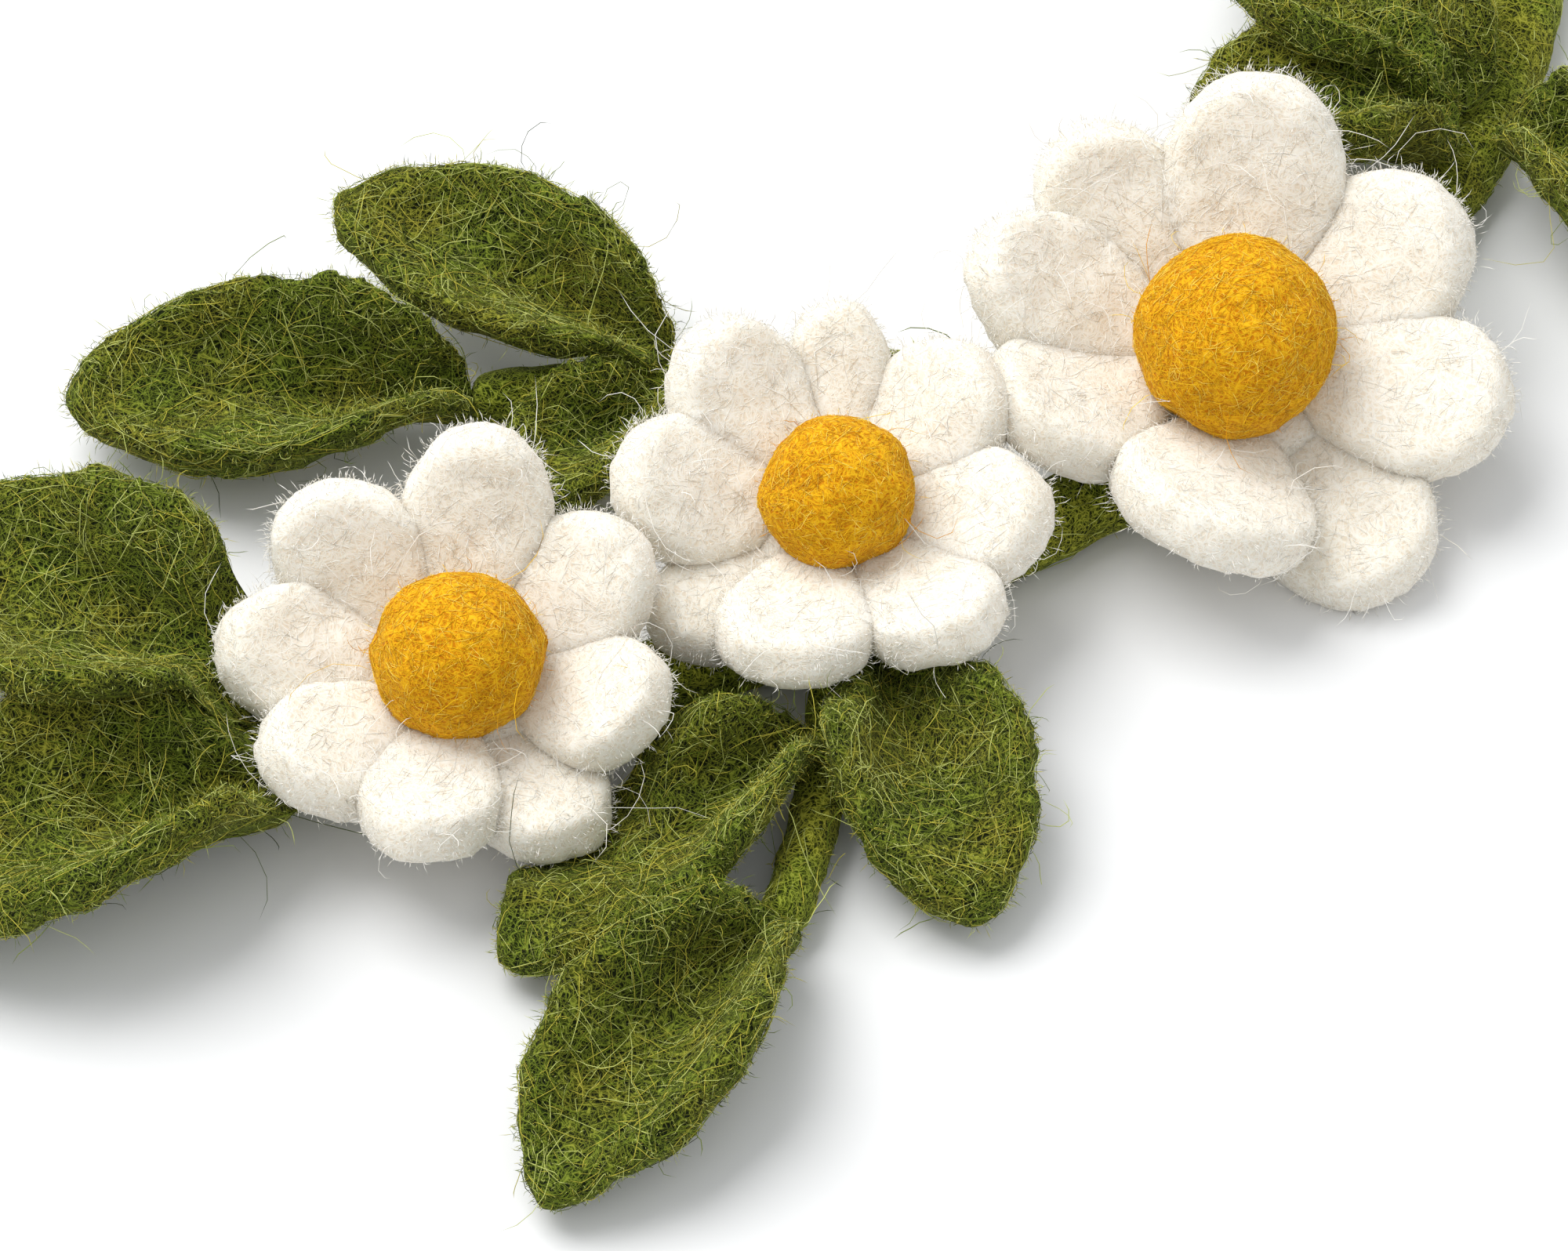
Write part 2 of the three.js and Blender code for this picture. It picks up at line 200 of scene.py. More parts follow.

# The felt finishes. tones, other_tones: linear colours of gaps, fibres and topmost fibres, the dark gaps
# being painted shade between fibres and the lighter topmost fibres partly paler wool and partly painted
# highlight;
# size: length and width of the noise that the fibres follow; depth: how far they stand out, in millimetres
FINISHES = {
    "petals": dict(
        name="cream felt", size=(5.0, 2.2), depth=0.07, sheen=CREAM_SHEEN,
        tones=((0.79, 0.71, 0.585), (0.835, 0.785, 0.685), (0.87, 0.84, 0.765)),
        other_tones=((0.77, 0.68, 0.55), (0.815, 0.765, 0.655), (0.86, 0.82, 0.735)),
    ),
    "centre": dict(
        name="yellow felt", size=(5.5, 1.9), depth=0.13, sheen=YELLOW_SHEEN,
        tones=((0.54, 0.19, 0.002), (0.70, 0.33, 0.005), (0.81, 0.47, 0.013)),
        other_tones=((0.50, 0.17, 0.002), (0.66, 0.30, 0.004), (0.78, 0.43, 0.010)),
    ),
    "leaf": dict(
        name="leaf felt", size=(6.0, 2.0), depth=0.28, sheen=GREEN_SHEEN,
        tones=((0.003, 0.007, 0.001), (0.043, 0.067, 0.004), (0.20, 0.25, 0.028)),
        other_tones=((0.005, 0.007, 0.001), (0.066, 0.073, 0.004), (0.27, 0.265, 0.032)),
    ),
    "stem": dict(
        name="stem felt", size=(6.0, 1.8), depth=0.20, sheen=GREEN_SHEEN,
        tones=((0.013, 0.021, 0.001), (0.100, 0.135, 0.006), (0.32, 0.36, 0.045)),
        other_tones=((0.016, 0.020, 0.001), (0.125, 0.138, 0.006), (0.38, 0.37, 0.045)),
    ),
}

# Loose fibres. laid, fuzz, stray: fibres to a square millimetre that lie on the felt, stand up from it or
# wander off; steps, step: how many steps a laid fibre has and their length; lift: how high it lies; tall: the
# height of the fuzz, all in millimetres; laid_fine, fuzz_fine: shares of the fibre radius, strays as laid
# ones; mix: the share of each colour
FIBRES = {
    "petals": dict(laid=1.10, fuzz=4.50, stray=0.090, steps=2, step=1.7, lift=0.02, tall=0.90,
                   laid_fine=0.80, fuzz_fine=0.85, mix=(0.8, 0.2)),
    "centre": dict(laid=3.40, fuzz=1.20, stray=0.050, steps=2, step=2.0, lift=0.08, tall=0.80,
                   laid_fine=0.72, fuzz_fine=0.8, mix=(0.45, 0.30, 0.25)),
    "leaf": dict(laid=0.80, fuzz=4.40, stray=0.100, steps=3, step=2.1, lift=0.22, tall=0.90,
                 laid_fine=0.88, fuzz_fine=0.8, mix=(0.30, 0.12, 0.32, 0.26)),
    "stem": dict(laid=0.14, fuzz=0.20, stray=0.012, steps=3, step=2.0, lift=0.16, tall=1.0,
                 laid_fine=1.1, fuzz_fine=1, mix=(0.32, 0.08, 0.32, 0.28)),
}
FIBRE_RADIUS = 0.045 * MM
FIBRE_WIDTHS = (0.7, 1.25)
LOWEST_FIBRE = 0.08 * MM
THREAD_SIDES = 3

# Away from the photograph's view fibres are fewer and thicker
FEWER_AWAY = 0.15
THICKER_AWAY = 1.7

# Faces that look down further than this have only a small share of fibres
UNDERSIDE = -0.25
UNDERSIDE_SHARE = 0.1

# Where fuzz grows: the bulge to a millimetre at which it is full, the least share of it on flat felt, and
# how often the bulge is evened out. A vertex stands a quarter of its bulge times an edge squared above the
# middle of its neighbours.
FULL_FUZZ = 0.55
FLAT_FUZZ = 0.08
BULGE_PASSES = 16
BULGE_QUARTERS = 4

# How far out of a face its way out is tested, in millimetres
CLEAR_OF_FACE = 0.02

# How fibres run. sink: how deep their roots are, in millimetres; evenness: how alike their lengths are
LAID_SINK = 0.04
LAID_EVENNESS = 5
LAID_BOW = 0.35
LAID_WAVER = 0.3
LAID_LIFTS = (0.3, 1.7)
FUZZ_SINK = 0.05
FUZZ_EVENNESS = 2.5
FUZZ_RISES = (0.25, 0.95)
FUZZ_BEND_AT = 0.5
FUZZ_BEND_ALONG = 0.7
FUZZ_BEND_UP = 1.25
STRAY_SINK = 0.1
STRAY_EVENNESS = 4
STRAY_STEPS = 5
STRAY_STEP = 1.12
STRAY_RISES = (0, 0.7)
STRAY_CURLS = (0.2, 0.9)
STRAY_WAVER = 0.15


# What a node is

def kind_of(node):
    """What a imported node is: petals, centre, leaf or stem."""
    for kind in ("petals", "centre", "leaf"):
        if kind in node:
            return kind
    return "stem"


def stretch_of(node):
    """Which third of the ring a node belongs to. The ring itself counts as the front one."""
    first = node.split("_")[0]
    return first if first in STRETCHES else "front"


def leaf_root(node):
    """The side that a leaf grows from: its sprig's middle, or for a tuft the middle daisy. Else None."""
    if kind_of(node) != "leaf":
        return None
    if "tuft" in node:
        low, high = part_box(stretch_of(node) + "_daisy_2_centre")
    else:
        low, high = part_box(node.split("_leaf")[0] + "_sprig_stem")
    return np.array((low + high) / 2)


def fibre_group(node):
    """Which fibre piece a node's fibres belong to: the sprigs' leaves apart from the tufts'."""
    kind = kind_of(node)
    if kind != "leaf":
        return kind
    return "tuft_leaf" if "tuft" in node else "sprig_leaf"


# Mesh helpers

def unit(vectors):
    """The vectors at length one."""
    tiny = 1e-12
    return vectors / np.maximum(np.linalg.norm(vectors, axis=-1, keepdims=True), tiny)


def points_of(mesh, attribute="co"):
    """The mesh's points, or another vector of each of its vertices, as an array."""
    values = np.empty(3 * len(mesh.vertices))
    mesh.vertices.foreach_get(attribute, values)
    return values.reshape(-1, 3)


def set_points(piece, points):
    """Moves the piece's vertices to these points."""
    piece.data.vertices.foreach_set("co", points.ravel())
    piece.data.update()


def box_of(piece):
    """Lowest and highest corner of a piece."""
    points = points_of(piece.data)
    return points.min(0), points.max(0)


def near_in_plan(one, other):
    """Whether two boxes come so near each other in plan that one may press the other."""
    margin = max(PRESS_REACHES) * MM
    return all(one[0][i] - margin < other[1][i] and other[0][i] - margin < one[1][i] for i in (0, 1))


def surface_tree(piece):
    """A search tree of a piece's faces."""
    faces = [tuple(face.vertices) for face in piece.data.polygons]
    return BVHTree.FromPolygons(points_of(piece.data).tolist(), faces)


def finish_step(piece, kind, **settings):
    """Adds one modifier to the piece and applies it."""
    bpy.context.view_layer.objects.active = piece
    step = piece.modifiers.new(kind.lower(), kind)
    for name, value in settings.items():
        setattr(step, name, value)
    bpy.ops.object.modifier_apply(modifier=step.name)


def cloud_texture(name, size):
    """Soft cloud noise that raises and sinks the felt."""
    texture = bpy.data.textures.new(name, "CLOUDS")
    texture.noise_scale = size
    texture.noise_depth = 1
    return texture


LUMPS = cloud_texture("felt lumps", LUMP_SIZE)
GRAIN = cloud_texture("felt grain", GRAIN_SIZE)


# Felt bodies

def hollowed(piece, root):
    """Sinks a hollow into a leaf's upper face, with a crease in it, and raises the rims beside it. All
    of it is deepest towards the root, where the leaf was pinched together."""
    points = points_of(piece.data)
    middle = points.mean(0)
    up, across, along = np.linalg.eigh(np.cov((points - middle).T))[1].T
    up = up * np.sign(up[2])
    along = along * np.sign((middle - root) @ along)
    far = (points - middle) @ along
    far = (far - far.min()) / np.ptp(far)
    side = (points - middle) @ across
    stations = np.linspace(0, 1, LEAF_STATIONS)
    nearest = np.abs(far[:, None] - stations).argmin(1)
    most = np.array([side[nearest == i].max() for i in range(LEAF_STATIONS)])
    least = np.array([side[nearest == i].min() for i in range(LEAF_STATIONS)])
    most, least = (np.convolve(np.pad(edge, 1, mode="edge"), EVEN_OUT, "valid") for edge in (most, least))
    centre = np.interp(far, stations, (most + least) / 2)
    share = np.abs(side - centre) / np.interp(far, stations, (most - least) / 2)
    facing = np.clip(points_of(piece.data, "normal") @ up / FULL_FACING, -1, 1)
    hollow = np.exp(-((far - HOLLOW_PLACE) / HOLLOW_LENGTH) ** 2)
    depth = HOLLOW_DEPTH * np.exp(-(share / HOLLOW_SHARE) ** 2)
    depth += CREASE_DEPTH * np.exp(-(share / CREASE_SHARE) ** 2)
    rim = np.exp(-((far - RIM_MIDDLE) / RIM_LENGTH) ** 2) * np.exp(-((share - RIM_PLACE) / RIM_SHARE) ** 2)
    rim *= np.clip(far / RIM_START, 0, 1)
    above = RIM_RISE * rim - depth * hollow
    below = RIM_DROP * rim
    points += up * np.where(facing > 0, facing * above, facing * below)[:, None] * MM
    set_points(piece, points)


def felted(piece, kind, stretch, root=None):
    """Gives a piece an even mesh, rounds its edges and makes it lumpy as needled wool is. A leaf is
    hollowed towards its root. The displacement goes half each way, so it is twice the lumps' height."""
    soft = BODIES[kind]
    away = 1 if stretch == "front" else COARSER_AWAY
    finish_step(piece, "REMESH", mode="VOXEL", voxel_size=soft["voxel"] * away * MM)
    finish_step(piece, "DISPLACE", mid_level=0, strength=soft["swell"] * MM)
    finish_step(piece, "SMOOTH", factor=ROUNDING, iterations=soft["passes"])
    if root is not None:
        hollowed(piece, root)
    for texture, height in ((LUMPS, soft["lump"]), (GRAIN, soft["grain"])):
        finish_step(piece, "DISPLACE", texture=texture, texture_coords="LOCAL", strength=2 * height * MM)
    points = points_of(piece.data)
    points[:, 2] = np.maximum(points[:, 2], 0)
    set_points(piece, points)


def pressed(piece, daisies):
    """Presses a leaf down where petals lie over it or close beside it."""
    points = points_of(piece.data)
    ceiling = np.full(len(points), np.inf)
    for reach in PRESS_REACHES:
        for turn in np.linspace(0, 2 * math.pi, PRESS_WAYS if reach else 1, endpoint=False):
            aside = Vector((math.cos(turn), math.sin(turn), 0)) * reach * MM
            for i, point in enumerate(points):
                start = Vector((point[0], point[1], -MM)) + aside
                for tree in daisies:
                    hit = tree.ray_cast(start, UP)[0]
                    if hit is not None:
                        ceiling[i] = min(ceiling[i], hit.z + reach * PRESS_SLOPE * MM)
    points[:, 2] = np.minimum(points[:, 2], np.maximum(ceiling - PRESS_GAP * MM, PRESS_LEFT * MM))
    set_points(piece, points)
    finish_step(piece, "SMOOTH", factor=ROUNDING, iterations=PRESS_PASSES, use_x=False, use_y=False)


def settled(piece):
    """Makes a ball a little shorter across the ring and upwards, as it is pressed in between its petals."""
    points = points_of(piece.data)
    middle = points.mean(0)
    outward = unit(middle * (1, 1, 0))
    for way in (outward, np.array(UP)):
        points -= BALL_PRESS * np.outer((points - middle) @ way, way)
    points -= BALL_SINK * MM * np.array(UP)
    set_points(piece, points)


def felt_copy(node):
    """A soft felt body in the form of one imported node."""
    piece = bpy.data.objects.new(node + "_felt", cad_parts[node].data.copy())
    bpy.context.scene.collection.objects.link(piece)
    bpy.ops.object.select_all(action="DESELECT")
    piece.select_set(True)
    bpy.context.view_layer.objects.active = piece
    bpy.ops.object.mode_set(mode="EDIT")
    bpy.ops.mesh.select_all(action="SELECT")
    bpy.ops.mesh.remove_doubles(threshold=MERGE_GAP)
    bpy.ops.object.mode_set(mode="OBJECT")
    felted(piece, kind_of(node), stretch_of(node), leaf_root(node))
    return piece


def felt_pad(form):
    """A flat pad of felt with an oval outline, thickest in the middle: a cut-up cube whose points go
    where form puts them."""
    bpy.ops.object.select_all(action="DESELECT")
    bpy.ops.mesh.primitive_cube_add(size=2)
    pad = bpy.context.object
    bpy.ops.object.mode_set(mode="EDIT")
    bpy.ops.mesh.subdivide(number_cuts=PAD_CUTS)
    bpy.ops.object.mode_set(mode="OBJECT")
    for vertex in pad.data.vertices:
        x, y, z = vertex.co
        square = max(abs(x), abs(y))
        oval = (abs(x) ** PAD_OUTLINE + abs(y) ** PAD_OUTLINE) ** (1 / PAD_OUTLINE)
        inward = square / oval if oval else 1
        vertex.co = form(x * inward, y * inward, z * (1 - PAD_CROWN * square ** 2))
    return pad


def hub_form(daisy, seat, turned):
    """Places the points of a daisy's hub, a low round pad under the ball."""
    radius = HUB_SHARE * daisy["radius"]

    def form(x, y, z):
        return seat + turned @ Vector((x * radius, y * radius, (z + 1) * HUB_HEIGHT / 2)) * MM

    return form


def petal_form(daisy, seat, turned, spin, petal):
    """Places the points of a petal. It widens and rises from the hub to its tip, and is a little twisted."""
    turn, long, wide, rise, lift = petal
    facing = turned @ Matrix.Rotation(math.radians(turn + spin), 3, "Z")
    start, end = PETAL_START * daisy["radius"], long * daisy["radius"]
    half_width = wide * daisy["wide"] / 2 * PETAL_FULLNESS
    half_thick = daisy["thick"] / 2 * PETAL_THICKNESS
    tip_rise = rise * daisy["rise"]
    twist = math.radians(random.normal(0, PETAL_TWIST))

    def form(x, y, z):
        along = (x + 1) / 2
        widened = PETAL_ROOT_WIDTH + (1 - PETAL_ROOT_WIDTH) * min(1, along / PETAL_FULL_AT)
        slope = math.atan2(2 * tip_rise * along, end - start)
        flat, thick = y * half_width * widened, z * half_thick
        side = flat * math.cos(twist) - thick * math.sin(twist)
        over = flat * math.sin(twist) + thick * math.cos(twist) + PETAL_CURL * half_width * y * y
        return seat + facing @ Vector((
            start + (end - start) * along - over * math.sin(slope),
            side,
            HUB_HEIGHT / 2 + lift + tip_rise * along ** 2 + over * math.cos(slope),
        )) * MM

    return form


def daisy_felt(node):
    """The petals of a daisy, each a thick pad of its own, needled together at a hub under the ball."""
    stretch, number = stretch_of(node), int(node.split("_")[2])
    daisy = DAISIES[number]
    middle, spin = STRETCHES[stretch]
    turned = (Matrix.Rotation(math.radians(middle + daisy["around"]), 3, "Z")
              @ Matrix.Rotation(math.radians(daisy["lean_out"]), 3, "X")
              @ Matrix.Rotation(math.radians(daisy["lean_along"]), 3, "Y"))
    low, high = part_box(node.replace("petals", "centre"))
    seat = (low + high) / 2 - turned @ Vector((0, 0, daisy["ball_rise"] * MM))
    pads = [felt_pad(hub_form(daisy, seat, turned))]
    pads += [felt_pad(petal_form(daisy, seat, turned, spin, petal)) for petal in daisy["petals"]]
    for pad in pads:
        felted(pad, "petals", stretch)
    bpy.ops.object.select_all(action="DESELECT")
    for pad in pads:
        pad.select_set(True)
    bpy.context.view_layer.objects.active = pads[0]
    bpy.ops.object.join()
    piece = bpy.context.object
    piece.name = node + "_felt"
    return piece


# Wool finishes

def bare_wool(name, sheen):
    """A dull wool shader with a soft sheen. Returns its material and shader."""
    material = bpy.data.materials.new(name)
    material.use_nodes = True
    shader = material.node_tree.nodes["Principled BSDF"]
    weight, tint = sheen
    shader.inputs["Roughness"].default_value = WOOL_ROUGHNESS
    shader.inputs["Specular IOR Level"].default_value = WOOL_SPECULAR
    shader.inputs["Sheen Weight"].default_value = weight
    shader.inputs["Sheen Roughness"].default_value = SHEEN_ROUGHNESS
    shader.inputs["Sheen Tint"].default_value = (*tint, 1)
    return material, shader


def ramp(nodes, stops):
    """A colour ramp with these (place, colour) stops."""
    node = nodes.new("ShaderNodeValToRGB")
    elements = node.color_ramp.elements
    while len(elements) < len(stops):
        elements.new(0.5)
    for element, (place, colour) in zip(elements, stops):
        element.position = place
        element.color = (*colour, 1)
    return node


def noise(nodes, links, vector, scale, detail):
    """Soft noise over the given coordinates."""
    node = nodes.new("ShaderNodeTexNoise")
    node.inputs["Scale"].default_value = scale
    node.inputs["Detail"].default_value = detail
    links.new(vector, node.inputs["Vector"])
    return node.outputs["Fac"]


def math_step(nodes, links, operation, value, other):
    """One step of arithmetic on a socket. other is a second socket or a plain number."""
    node = nodes.new("ShaderNodeMath")
    node.operation = operation
    links.new(value, node.inputs[0])
    if isinstance(other, float):
        node.inputs[1].default_value = other
    else:
        links.new(other, node.inputs[1])
    return node.outputs[0]


def colour_socket(sockets, name):
    """The colour socket of this name, where a node has several of that name."""
    return next(socket for socket in sockets if socket.name == name and socket.type == "RGBA")


def fibre_heights(nodes, links, place, size):
    """The height of fibres that cross in several layers, from 0 in the gaps to 1 on top."""
    top = None
    for layer, (tilt, heading) in enumerate(FIBRE_LAYERS):
        mapping = nodes.new("ShaderNodeMapping")
        mapping.vector_type = "TEXTURE"
        mapping.inputs["Location"].default_value = (LAYER_OFFSET * layer,) * 3
        mapping.inputs["Rotation"].default_value = (0, tilt, heading)
        mapping.inputs["Scale"].default_value = Vector((size[0], size[1], size[1])) * MM
        links.new(place, mapping.inputs["Vector"])
        soft = noise(nodes, links, mapping.outputs[0], scale=1, detail=1)
        contour = math_step(nodes, links, "PINGPONG", soft, CONTOUR_STEP)
        top = contour if top is None else math_step(nodes, links, "MAXIMUM", top, contour)
    return math_step(nodes, links, "DIVIDE", top, CONTOUR_STEP)


def matted_wool(name, tones, other_tones, size, depth, sheen):
    """Felted wool: fibres that cross in several directions, with painted shade dark in the gaps between them
    and lighter on top, partly paler wool and partly painted highlight. Patches of it take the other tones."""
    material, shader = bare_wool(name, sheen)
    nodes, links = material.node_tree.nodes, material.node_tree.links
    place = nodes.new("ShaderNodeTexCoord").outputs["Object"]
    top = fibre_heights(nodes, links, place, size)
    patches = ramp(nodes, ((PATCH_START, (0, 0, 0)), (PATCH_FULL, (1, 1, 1))))
    links.new(noise(nodes, links, place, PATCH_SCALE, PATCH_DETAIL), patches.inputs["Fac"])
    mixed = nodes.new("ShaderNodeMix")
    mixed.data_type = "RGBA"
    links.new(patches.outputs["Color"], mixed.inputs["Factor"])
    for colours, socket in ((tones, "A"), (other_tones, "B")):
        # The ramp paints shade into the gaps between fibres and a partly painted highlight on the topmost
        # fibres
        tint = ramp(nodes, list(zip(SHADE_AND_TONE_HEIGHTS, colours)))
        links.new(top, tint.inputs["Fac"])
        links.new(tint.outputs["Color"], colour_socket(mixed.inputs, socket))
    links.new(colour_socket(mixed.outputs, "Result"), shader.inputs["Base Color"])
    bump = nodes.new("ShaderNodeBump")
    bump.inputs["Distance"].default_value = depth * MM
    links.new(top, bump.inputs["Height"])
    links.new(bump.outputs[0], shader.inputs["Normal"])
    return material


def let_light_in(material):
    """Lets some light pass into pale wool and out of it again."""
    inputs = material.node_tree.nodes["Principled BSDF"].inputs
    inputs["Subsurface Weight"].default_value = GLOW_SHARE
    inputs["Subsurface Scale"].default_value = GLOW_REACH
    inputs["Subsurface Radius"].default_value = GLOW_COLOURS


def fibre_wool(name, colour, sheen):
    """One even colour of loose wool fibre."""
    material, shader = bare_wool(name, sheen)
    shader.inputs["Base Color"].default_value = (*colour, 1)
    return material


BODY_WOOL = {kind: matted_wool(**finish) for kind, finish in FINISHES.items()}
let_light_in(BODY_WOOL["petals"])

GREEN_FIBRES = [
    fibre_wool("green fibre", (0.150, 0.200, 0.016), GREEN_SHEEN),
    fibre_wool("dark green fibre", (0.030, 0.045, 0.003), GREEN_SHEEN),
    fibre_wool("pale green fibre", (0.50, 0.54, 0.16), GREEN_SHEEN),
    fibre_wool("olive fibre", (0.48, 0.43, 0.06), GREEN_SHEEN),
]
FIBRE_WOOL = {
    "petals": [fibre_wool("cream fibre", (0.94, 0.915, 0.855), CREAM_SHEEN),
               fibre_wool("ivory fibre", (0.90, 0.855, 0.765), CREAM_SHEEN)],
    "centre": [fibre_wool("yellow fibre", (0.86, 0.52, 0.012), YELLOW_SHEEN),
               fibre_wool("amber fibre", (0.72, 0.32, 0.005), YELLOW_SHEEN),
               fibre_wool("pale yellow fibre", (0.94, 0.70, 0.11), YELLOW_SHEEN)],
    "leaf": GREEN_FIBRES,
    "stem": GREEN_FIBRES,
}


# Loose fibres

# A felt body to lay fibres on: its points and triangles, each triangle's normal, open area and share of
# fuzz, and a tree to search them
Surface = namedtuple("Surface", "points corners normals areas fuzzy tree")


def bulge_of(mesh):
    """How strongly the surface bulges at each vertex, to a millimetre, evened out over its surroundings."""
    points, normals = points_of(mesh), points_of(mesh, "normal")
    ends = np.empty(2 * len(mesh.edges), int)
    mesh.edges.foreach_get("vertices", ends)
    one, other = ends.reshape(-1, 2).T
    count = len(points)
    neighbours = np.bincount(one, minlength=count) + np.bincount(other, minlength=count)

    def around(values):
        total = np.bincount(one, values[other], count) + np.bincount(other, values[one], count)
        return total / neighbours

    centre = np.stack([around(points[:, i]) for i in range(3)], 1)
    edge = np.linalg.norm(points[one] - points[other], axis=1).mean()
    bulge = BULGE_QUARTERS * ((points - centre) * normals).sum(1) / edge ** 2 * MM
    for _ in range(BULGE_PASSES):
        bulge = (bulge + around(bulge)) / 2
    return bulge


def surface_of(piece):
    """The piece's surface for fibres. A triangle that is buried in another pad of the same piece has no
    open area."""
    mesh = piece.data
    mesh.calc_loop_triangles()
    corners = np.empty(3 * len(mesh.loop_triangles), int)
    mesh.loop_triangles.foreach_get("vertices", corners)
    points, corners = points_of(mesh), corners.reshape(-1, 3)
    tree = BVHTree.FromPolygons(points.tolist(), corners.tolist())
    a, b, c = (points[corners[:, i]] for i in range(3))
    across = np.cross(b - a, c - a)
    normals, areas = unit(across), np.linalg.norm(across, axis=1) / 2
    starts = (a + b + c) / 3 + normals * CLEAR_OF_FACE * MM
    for i, (start, normal) in enumerate(zip(starts.tolist(), normals.tolist())):
        way_out = tree.ray_cast(start, normal)[1]
        if way_out is not None and way_out.dot(normal) > 0:
            areas[i] = 0
    areas[normals[:, 2] < UNDERSIDE] *= UNDERSIDE_SHARE
    fuzzy = np.clip(bulge_of(mesh)[corners].mean(1) / FULL_FUZZ, FLAT_FUZZ, 1)
    return Surface(points, corners, normals, areas, fuzzy, tree)


def scatter(surface, density, share=1):
    """Random places on the surface with their normals."""
    weight = surface.areas * share
    count = int(density * weight.sum() / MM ** 2)
    chosen = random.choice(len(surface.corners), count, p=weight / weight.sum())
    u, v = random.random((2, count, 1))
    fold = u + v > 1
    u, v = np.where(fold, 1 - u, u), np.where(fold, 1 - v, v)
    a, b, c = (surface.points[surface.corners[chosen, i]] for i in range(3))
    return a + u * (b - a) + v * (c - a), surface.normals[chosen]


def any_way_along(normals):
    """A random direction in the surface at each place."""
    across = random.normal(size=normals.shape)
    return unit(across - normals * (across * normals).sum(1, keepdims=True))


def lengths(mean, evenness, count):
    """Random lengths around a mean, all above zero."""
    return random.gamma(evenness, mean / evenness, count) * MM


def laid_paths(surface, density, steps, step, lift):
    """Fibres that lie on the felt and follow its form."""
    place, normal = scatter(surface, density)
    count = (len(place), 1)
    heading = any_way_along(normal)
    step = lengths(step, LAID_EVENNESS, count)
    bow = random.normal(0, LAID_BOW, count)
    path = [place - normal * LAID_SINK * MM]
    for _ in range(steps):
        turn = bow + random.normal(0, LAID_WAVER, count)
        heading = heading * np.cos(turn) + np.cross(normal, heading) * np.sin(turn)
        found = [surface.tree.find_nearest(Vector(p)) for p in place + heading * step]
        place = np.array([hit[0] for hit in found]).reshape(-1, 3)
        normal = np.array([hit[1] for hit in found]).reshape(-1, 3)
        heading = unit(heading - normal * (heading * normal).sum(1, keepdims=True))
        path.append(place + normal * lift * random.uniform(*LAID_LIFTS, count) * MM)
    return np.stack(path, 1)


def fuzz_paths(surface, density, tall):
    """Short fibres that stand up from the felt and bend over, most of them along its edges."""
    place, normal = scatter(surface, density, surface.fuzzy)
    count = (len(place), 1)
    along = any_way_along(normal)
    length = lengths(tall, FUZZ_EVENNESS, count)
    rise = random.uniform(*FUZZ_RISES, count)
    aside, upward = along * (1 - rise), normal * rise
    bend = place + length * FUZZ_BEND_AT * (aside * FUZZ_BEND_ALONG + upward * FUZZ_BEND_UP)
    return np.stack([place - normal * FUZZ_SINK * MM, bend, place + length * (aside + upward)], 1)


def stray_paths(surface, density):
    """Long fibres that wander off the felt in loose curls."""
    place, normal = scatter(surface, density)
    count = (len(place), 1)
    heading = unit(any_way_along(normal) + normal * random.uniform(*STRAY_RISES, count))
    step = lengths(STRAY_STEP, STRAY_EVENNESS, count)
    axis = unit(random.normal(size=place.shape))
    curl = random.uniform(*STRAY_CURLS, count)
    path = [place - normal * STRAY_SINK * MM]
    for _ in range(STRAY_STEPS):
        waver = random.normal(0, STRAY_WAVER, place.shape)
        heading = unit(heading + np.cross(axis, heading) * curl + waver)
        place = place + heading * step
        path.append(place)
    return np.stack(path, 1)


def thread_faces(stations):
    """The triangles of one closed thread: a fan at each pointed end and a band between its rings."""
    last = THREAD_SIDES * (stations - 2) + 1
    faces = [(0, 2, 1), (0, 3, 2), (0, 1, 3)]
    for first in range(1, last - THREAD_SIDES, THREAD_SIDES):
        for a, b in ((0, 1), (1, 2), (2, 0)):
            near_a, near_b = first + a, first + b
            far_a, far_b = near_a + THREAD_SIDES, near_b + THREAD_SIDES
            faces += [(near_a, near_b, far_b), (near_a, far_b, far_a)]
    return faces + [(last, last - 3, last - 2), (last, last - 2, last - 1), (last, last - 1, last - 3)]


def fibre_mesh(paths, thicker):
    """Closed three-sided threads, pointed at both ends, along the paths. Returns the points and triangles of
    all, and each thread's number of triangles."""
    count, stations, _ = paths.shape
    paths = paths.copy()
    paths[..., 2] = np.maximum(paths[..., 2], LOWEST_FIBRE)
    inner = paths[:, 1:-1]
    along = unit(paths[:, 2:] - paths[:, :-2])
    side = unit(np.cross(along, unit(random.normal(size=(count, 1, 3)))))
    over = np.cross(along, side)
    radius = FIBRE_RADIUS * thicker * random.uniform(*FIBRE_WIDTHS, (count, 1, 1))
    angles = [2 * math.pi * i / THREAD_SIDES for i in range(THREAD_SIDES)]
    ring = [inner + radius * (math.cos(a) * side + math.sin(a) * over) for a in angles]
    rings = np.stack(ring, 2).reshape(count, THREAD_SIDES * (stations - 2), 3)
    points = np.concatenate([paths[:, :1], rings, paths[:, -1:]], 1)
    firsts = np.arange(count) * points.shape[1]
    faces = np.array(thread_faces(stations))[None] + firsts[:, None, None]
    return points.reshape(-1, 3), faces.reshape(-1, 3), np.full(count, faces.shape[1])


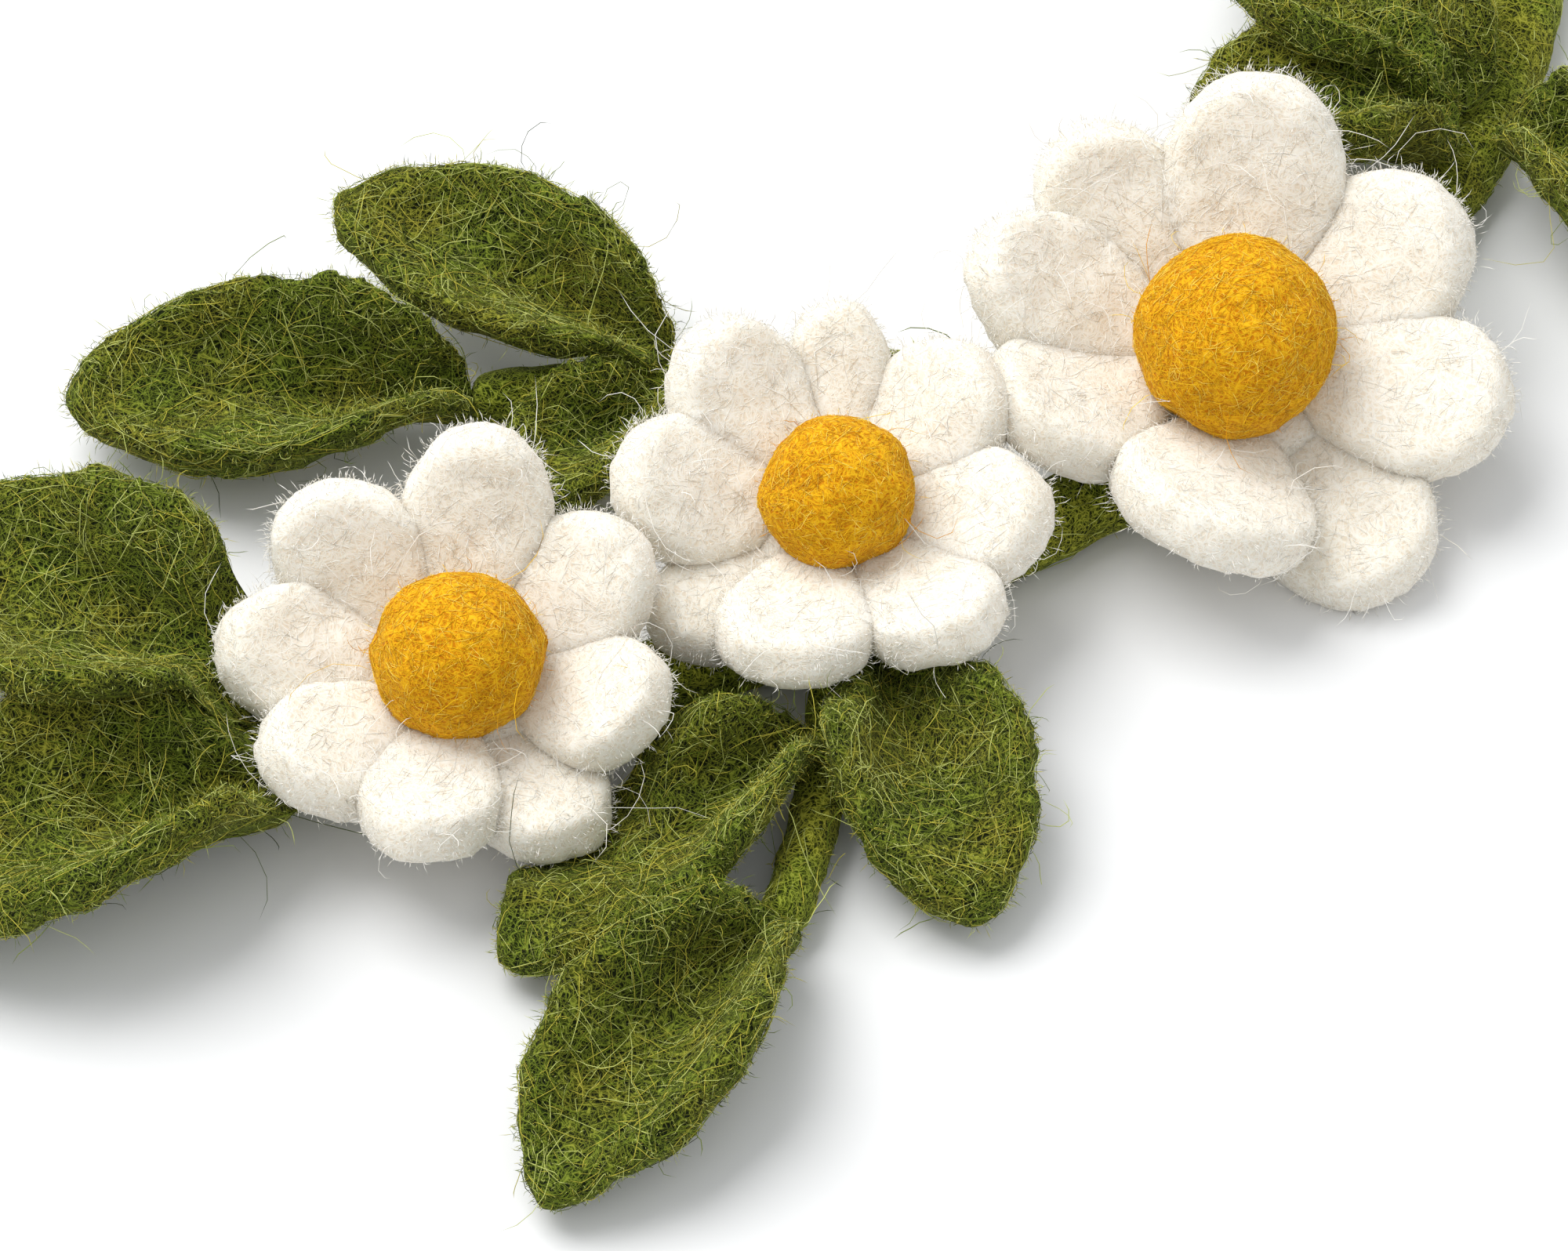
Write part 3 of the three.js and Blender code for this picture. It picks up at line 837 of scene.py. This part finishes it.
def triangle_mesh(name, points, faces, tints):
    """A smooth mesh of triangles, each with the number of its material."""
    mesh = bpy.data.meshes.new(name)
    mesh.vertices.add(len(points))
    mesh.vertices.foreach_set("co", points.ravel())
    mesh.loops.add(faces.size)
    mesh.loops.foreach_set("vertex_index", faces.ravel())
    mesh.polygons.add(len(faces))
    mesh.polygons.foreach_set("loop_start", np.arange(0, faces.size, 3))
    mesh.polygons.foreach_set("material_index", tints)
    mesh.polygons.foreach_set("use_smooth", np.ones(len(faces), bool))
    mesh.update(calc_edges=True)
    return mesh


def fibre_piece(name, kind, felts, share, thicker):
    """All loose fibres of one kind on the given felt bodies, as one piece."""
    amount = FIBRES[kind]
    points, faces, tints, first = [], [], [], 0
    for felt in felts:
        surface = surface_of(felt)
        laid = laid_paths(surface, amount["laid"] * share, amount["steps"], amount["step"], amount["lift"])
        fuzz = fuzz_paths(surface, amount["fuzz"] * share, amount["tall"])
        stray = stray_paths(surface, amount["stray"] * share)
        for paths, fine in ((laid, "laid_fine"), (fuzz, "fuzz_fine"), (stray, "laid_fine")):
            some_points, some_faces, faces_each = fibre_mesh(paths, thicker * amount[fine])
            tint = random.choice(len(amount["mix"]), len(faces_each), p=amount["mix"])
            points.append(some_points)
            faces.append(some_faces + first)
            tints.append(np.repeat(tint, faces_each))
            first += len(some_points)
    mesh = triangle_mesh(name, np.concatenate(points), np.concatenate(faces), np.concatenate(tints))
    for material in FIBRE_WOOL[kind]:
        mesh.materials.append(material)
    piece = bpy.data.objects.new(name, mesh)
    bpy.context.scene.collection.objects.link(piece)
    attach(piece, "root")


# Floor, light and camera

def add_stage():
    """A plain white floor under the wreath."""
    bpy.ops.object.select_all(action="DESELECT")
    bpy.ops.mesh.primitive_plane_add(size=FLOOR_SIZE, location=(0, 0, -FLOOR_GAP))
    floor = bpy.context.object
    floor.name = "floor"
    material = bpy.data.materials.new("white floor")
    material.use_nodes = True
    shader = material.node_tree.nodes["Principled BSDF"]
    shader.inputs["Base Color"].default_value = FLOOR_COLOUR
    shader.inputs["Roughness"].default_value = FLOOR_ROUGHNESS
    shader.inputs["Specular IOR Level"].default_value = 0
    floor.data.materials.append(material)


def add_camera(aim):
    """The camera at the photograph's viewing angle."""
    back = Vector((0, -math.cos(VIEW_ELEVATION), math.sin(VIEW_ELEVATION)))
    bpy.ops.object.camera_add(location=aim + back * VIEW_DISTANCE)
    camera = bpy.context.object
    camera.rotation_euler = (math.pi / 2 - VIEW_ELEVATION, 0, 0)
    camera.data.lens = camera.data.sensor_width * VIEW_DISTANCE / VIEW_WIDTH
    camera.data.clip_start = VIEW_START
    bpy.context.scene.camera = camera


def add_light(aim):
    """A soft square light that faces the wreath, and the pale studio around it."""
    bpy.ops.object.light_add(type="AREA", location=aim + KEY_PLACE)
    light = bpy.context.object
    light.name = "key light"
    light.data.size = KEY_SIZE
    light.data.energy = KEY_POWER
    light.rotation_euler = (-KEY_PLACE).to_track_quat("-Z", "Y").to_euler()
    world = bpy.data.worlds.new("studio")
    world.use_nodes = True
    studio = world.node_tree.nodes["Background"]
    studio.inputs["Color"].default_value = STUDIO_COLOUR
    studio.inputs["Strength"].default_value = STUDIO_STRENGTH
    bpy.context.scene.world = world
    bpy.context.scene.view_settings.view_transform = "Standard"


def add_view():
    """Camera and light as in the photograph, aimed beside the middle daisy."""
    low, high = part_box("front_daisy_2_centre")
    aim = (low + high) / 2 + AIM_FROM_MIDDLE_DAISY
    add_camera(aim)
    add_light(aim)


# The wreath

def add_felts():
    """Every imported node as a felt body, the petals first, because leaves are pressed under them. Returns
    the bodies by stretch, kind and fibre group."""
    groups = {}
    daisies = []
    for node in sorted(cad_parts, key=lambda name: (kind_of(name) != "petals", name)):
        kind = kind_of(node)
        piece = daisy_felt(node) if kind == "petals" else felt_copy(node)
        if kind == "petals":
            daisies.append((box_of(piece), surface_tree(piece)))
        elif kind == "centre":
            settled(piece)
        elif kind == "leaf":
            near = [tree for box, tree in daisies if near_in_plan(box, box_of(piece))]
            if near:
                pressed(piece, near)
        piece.data.materials.clear()
        piece.data.materials.append(BODY_WOOL[kind])
        piece.data.shade_smooth()
        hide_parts(node)
        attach(piece, "root")
        groups.setdefault((stretch_of(node), kind, fibre_group(node)), []).append(piece)
    return groups


def add_fibres(groups):
    """The loose fibres of each stretch."""
    for (stretch, kind, group), felts in groups.items():
        share, thicker = (1, 1) if stretch == "front" else (FEWER_AWAY, THICKER_AWAY)
        fibre_piece(f"{stretch}_{group}_fibres", kind, felts, share, thicker)


add_stage()
add_view()
add_fibres(add_felts())
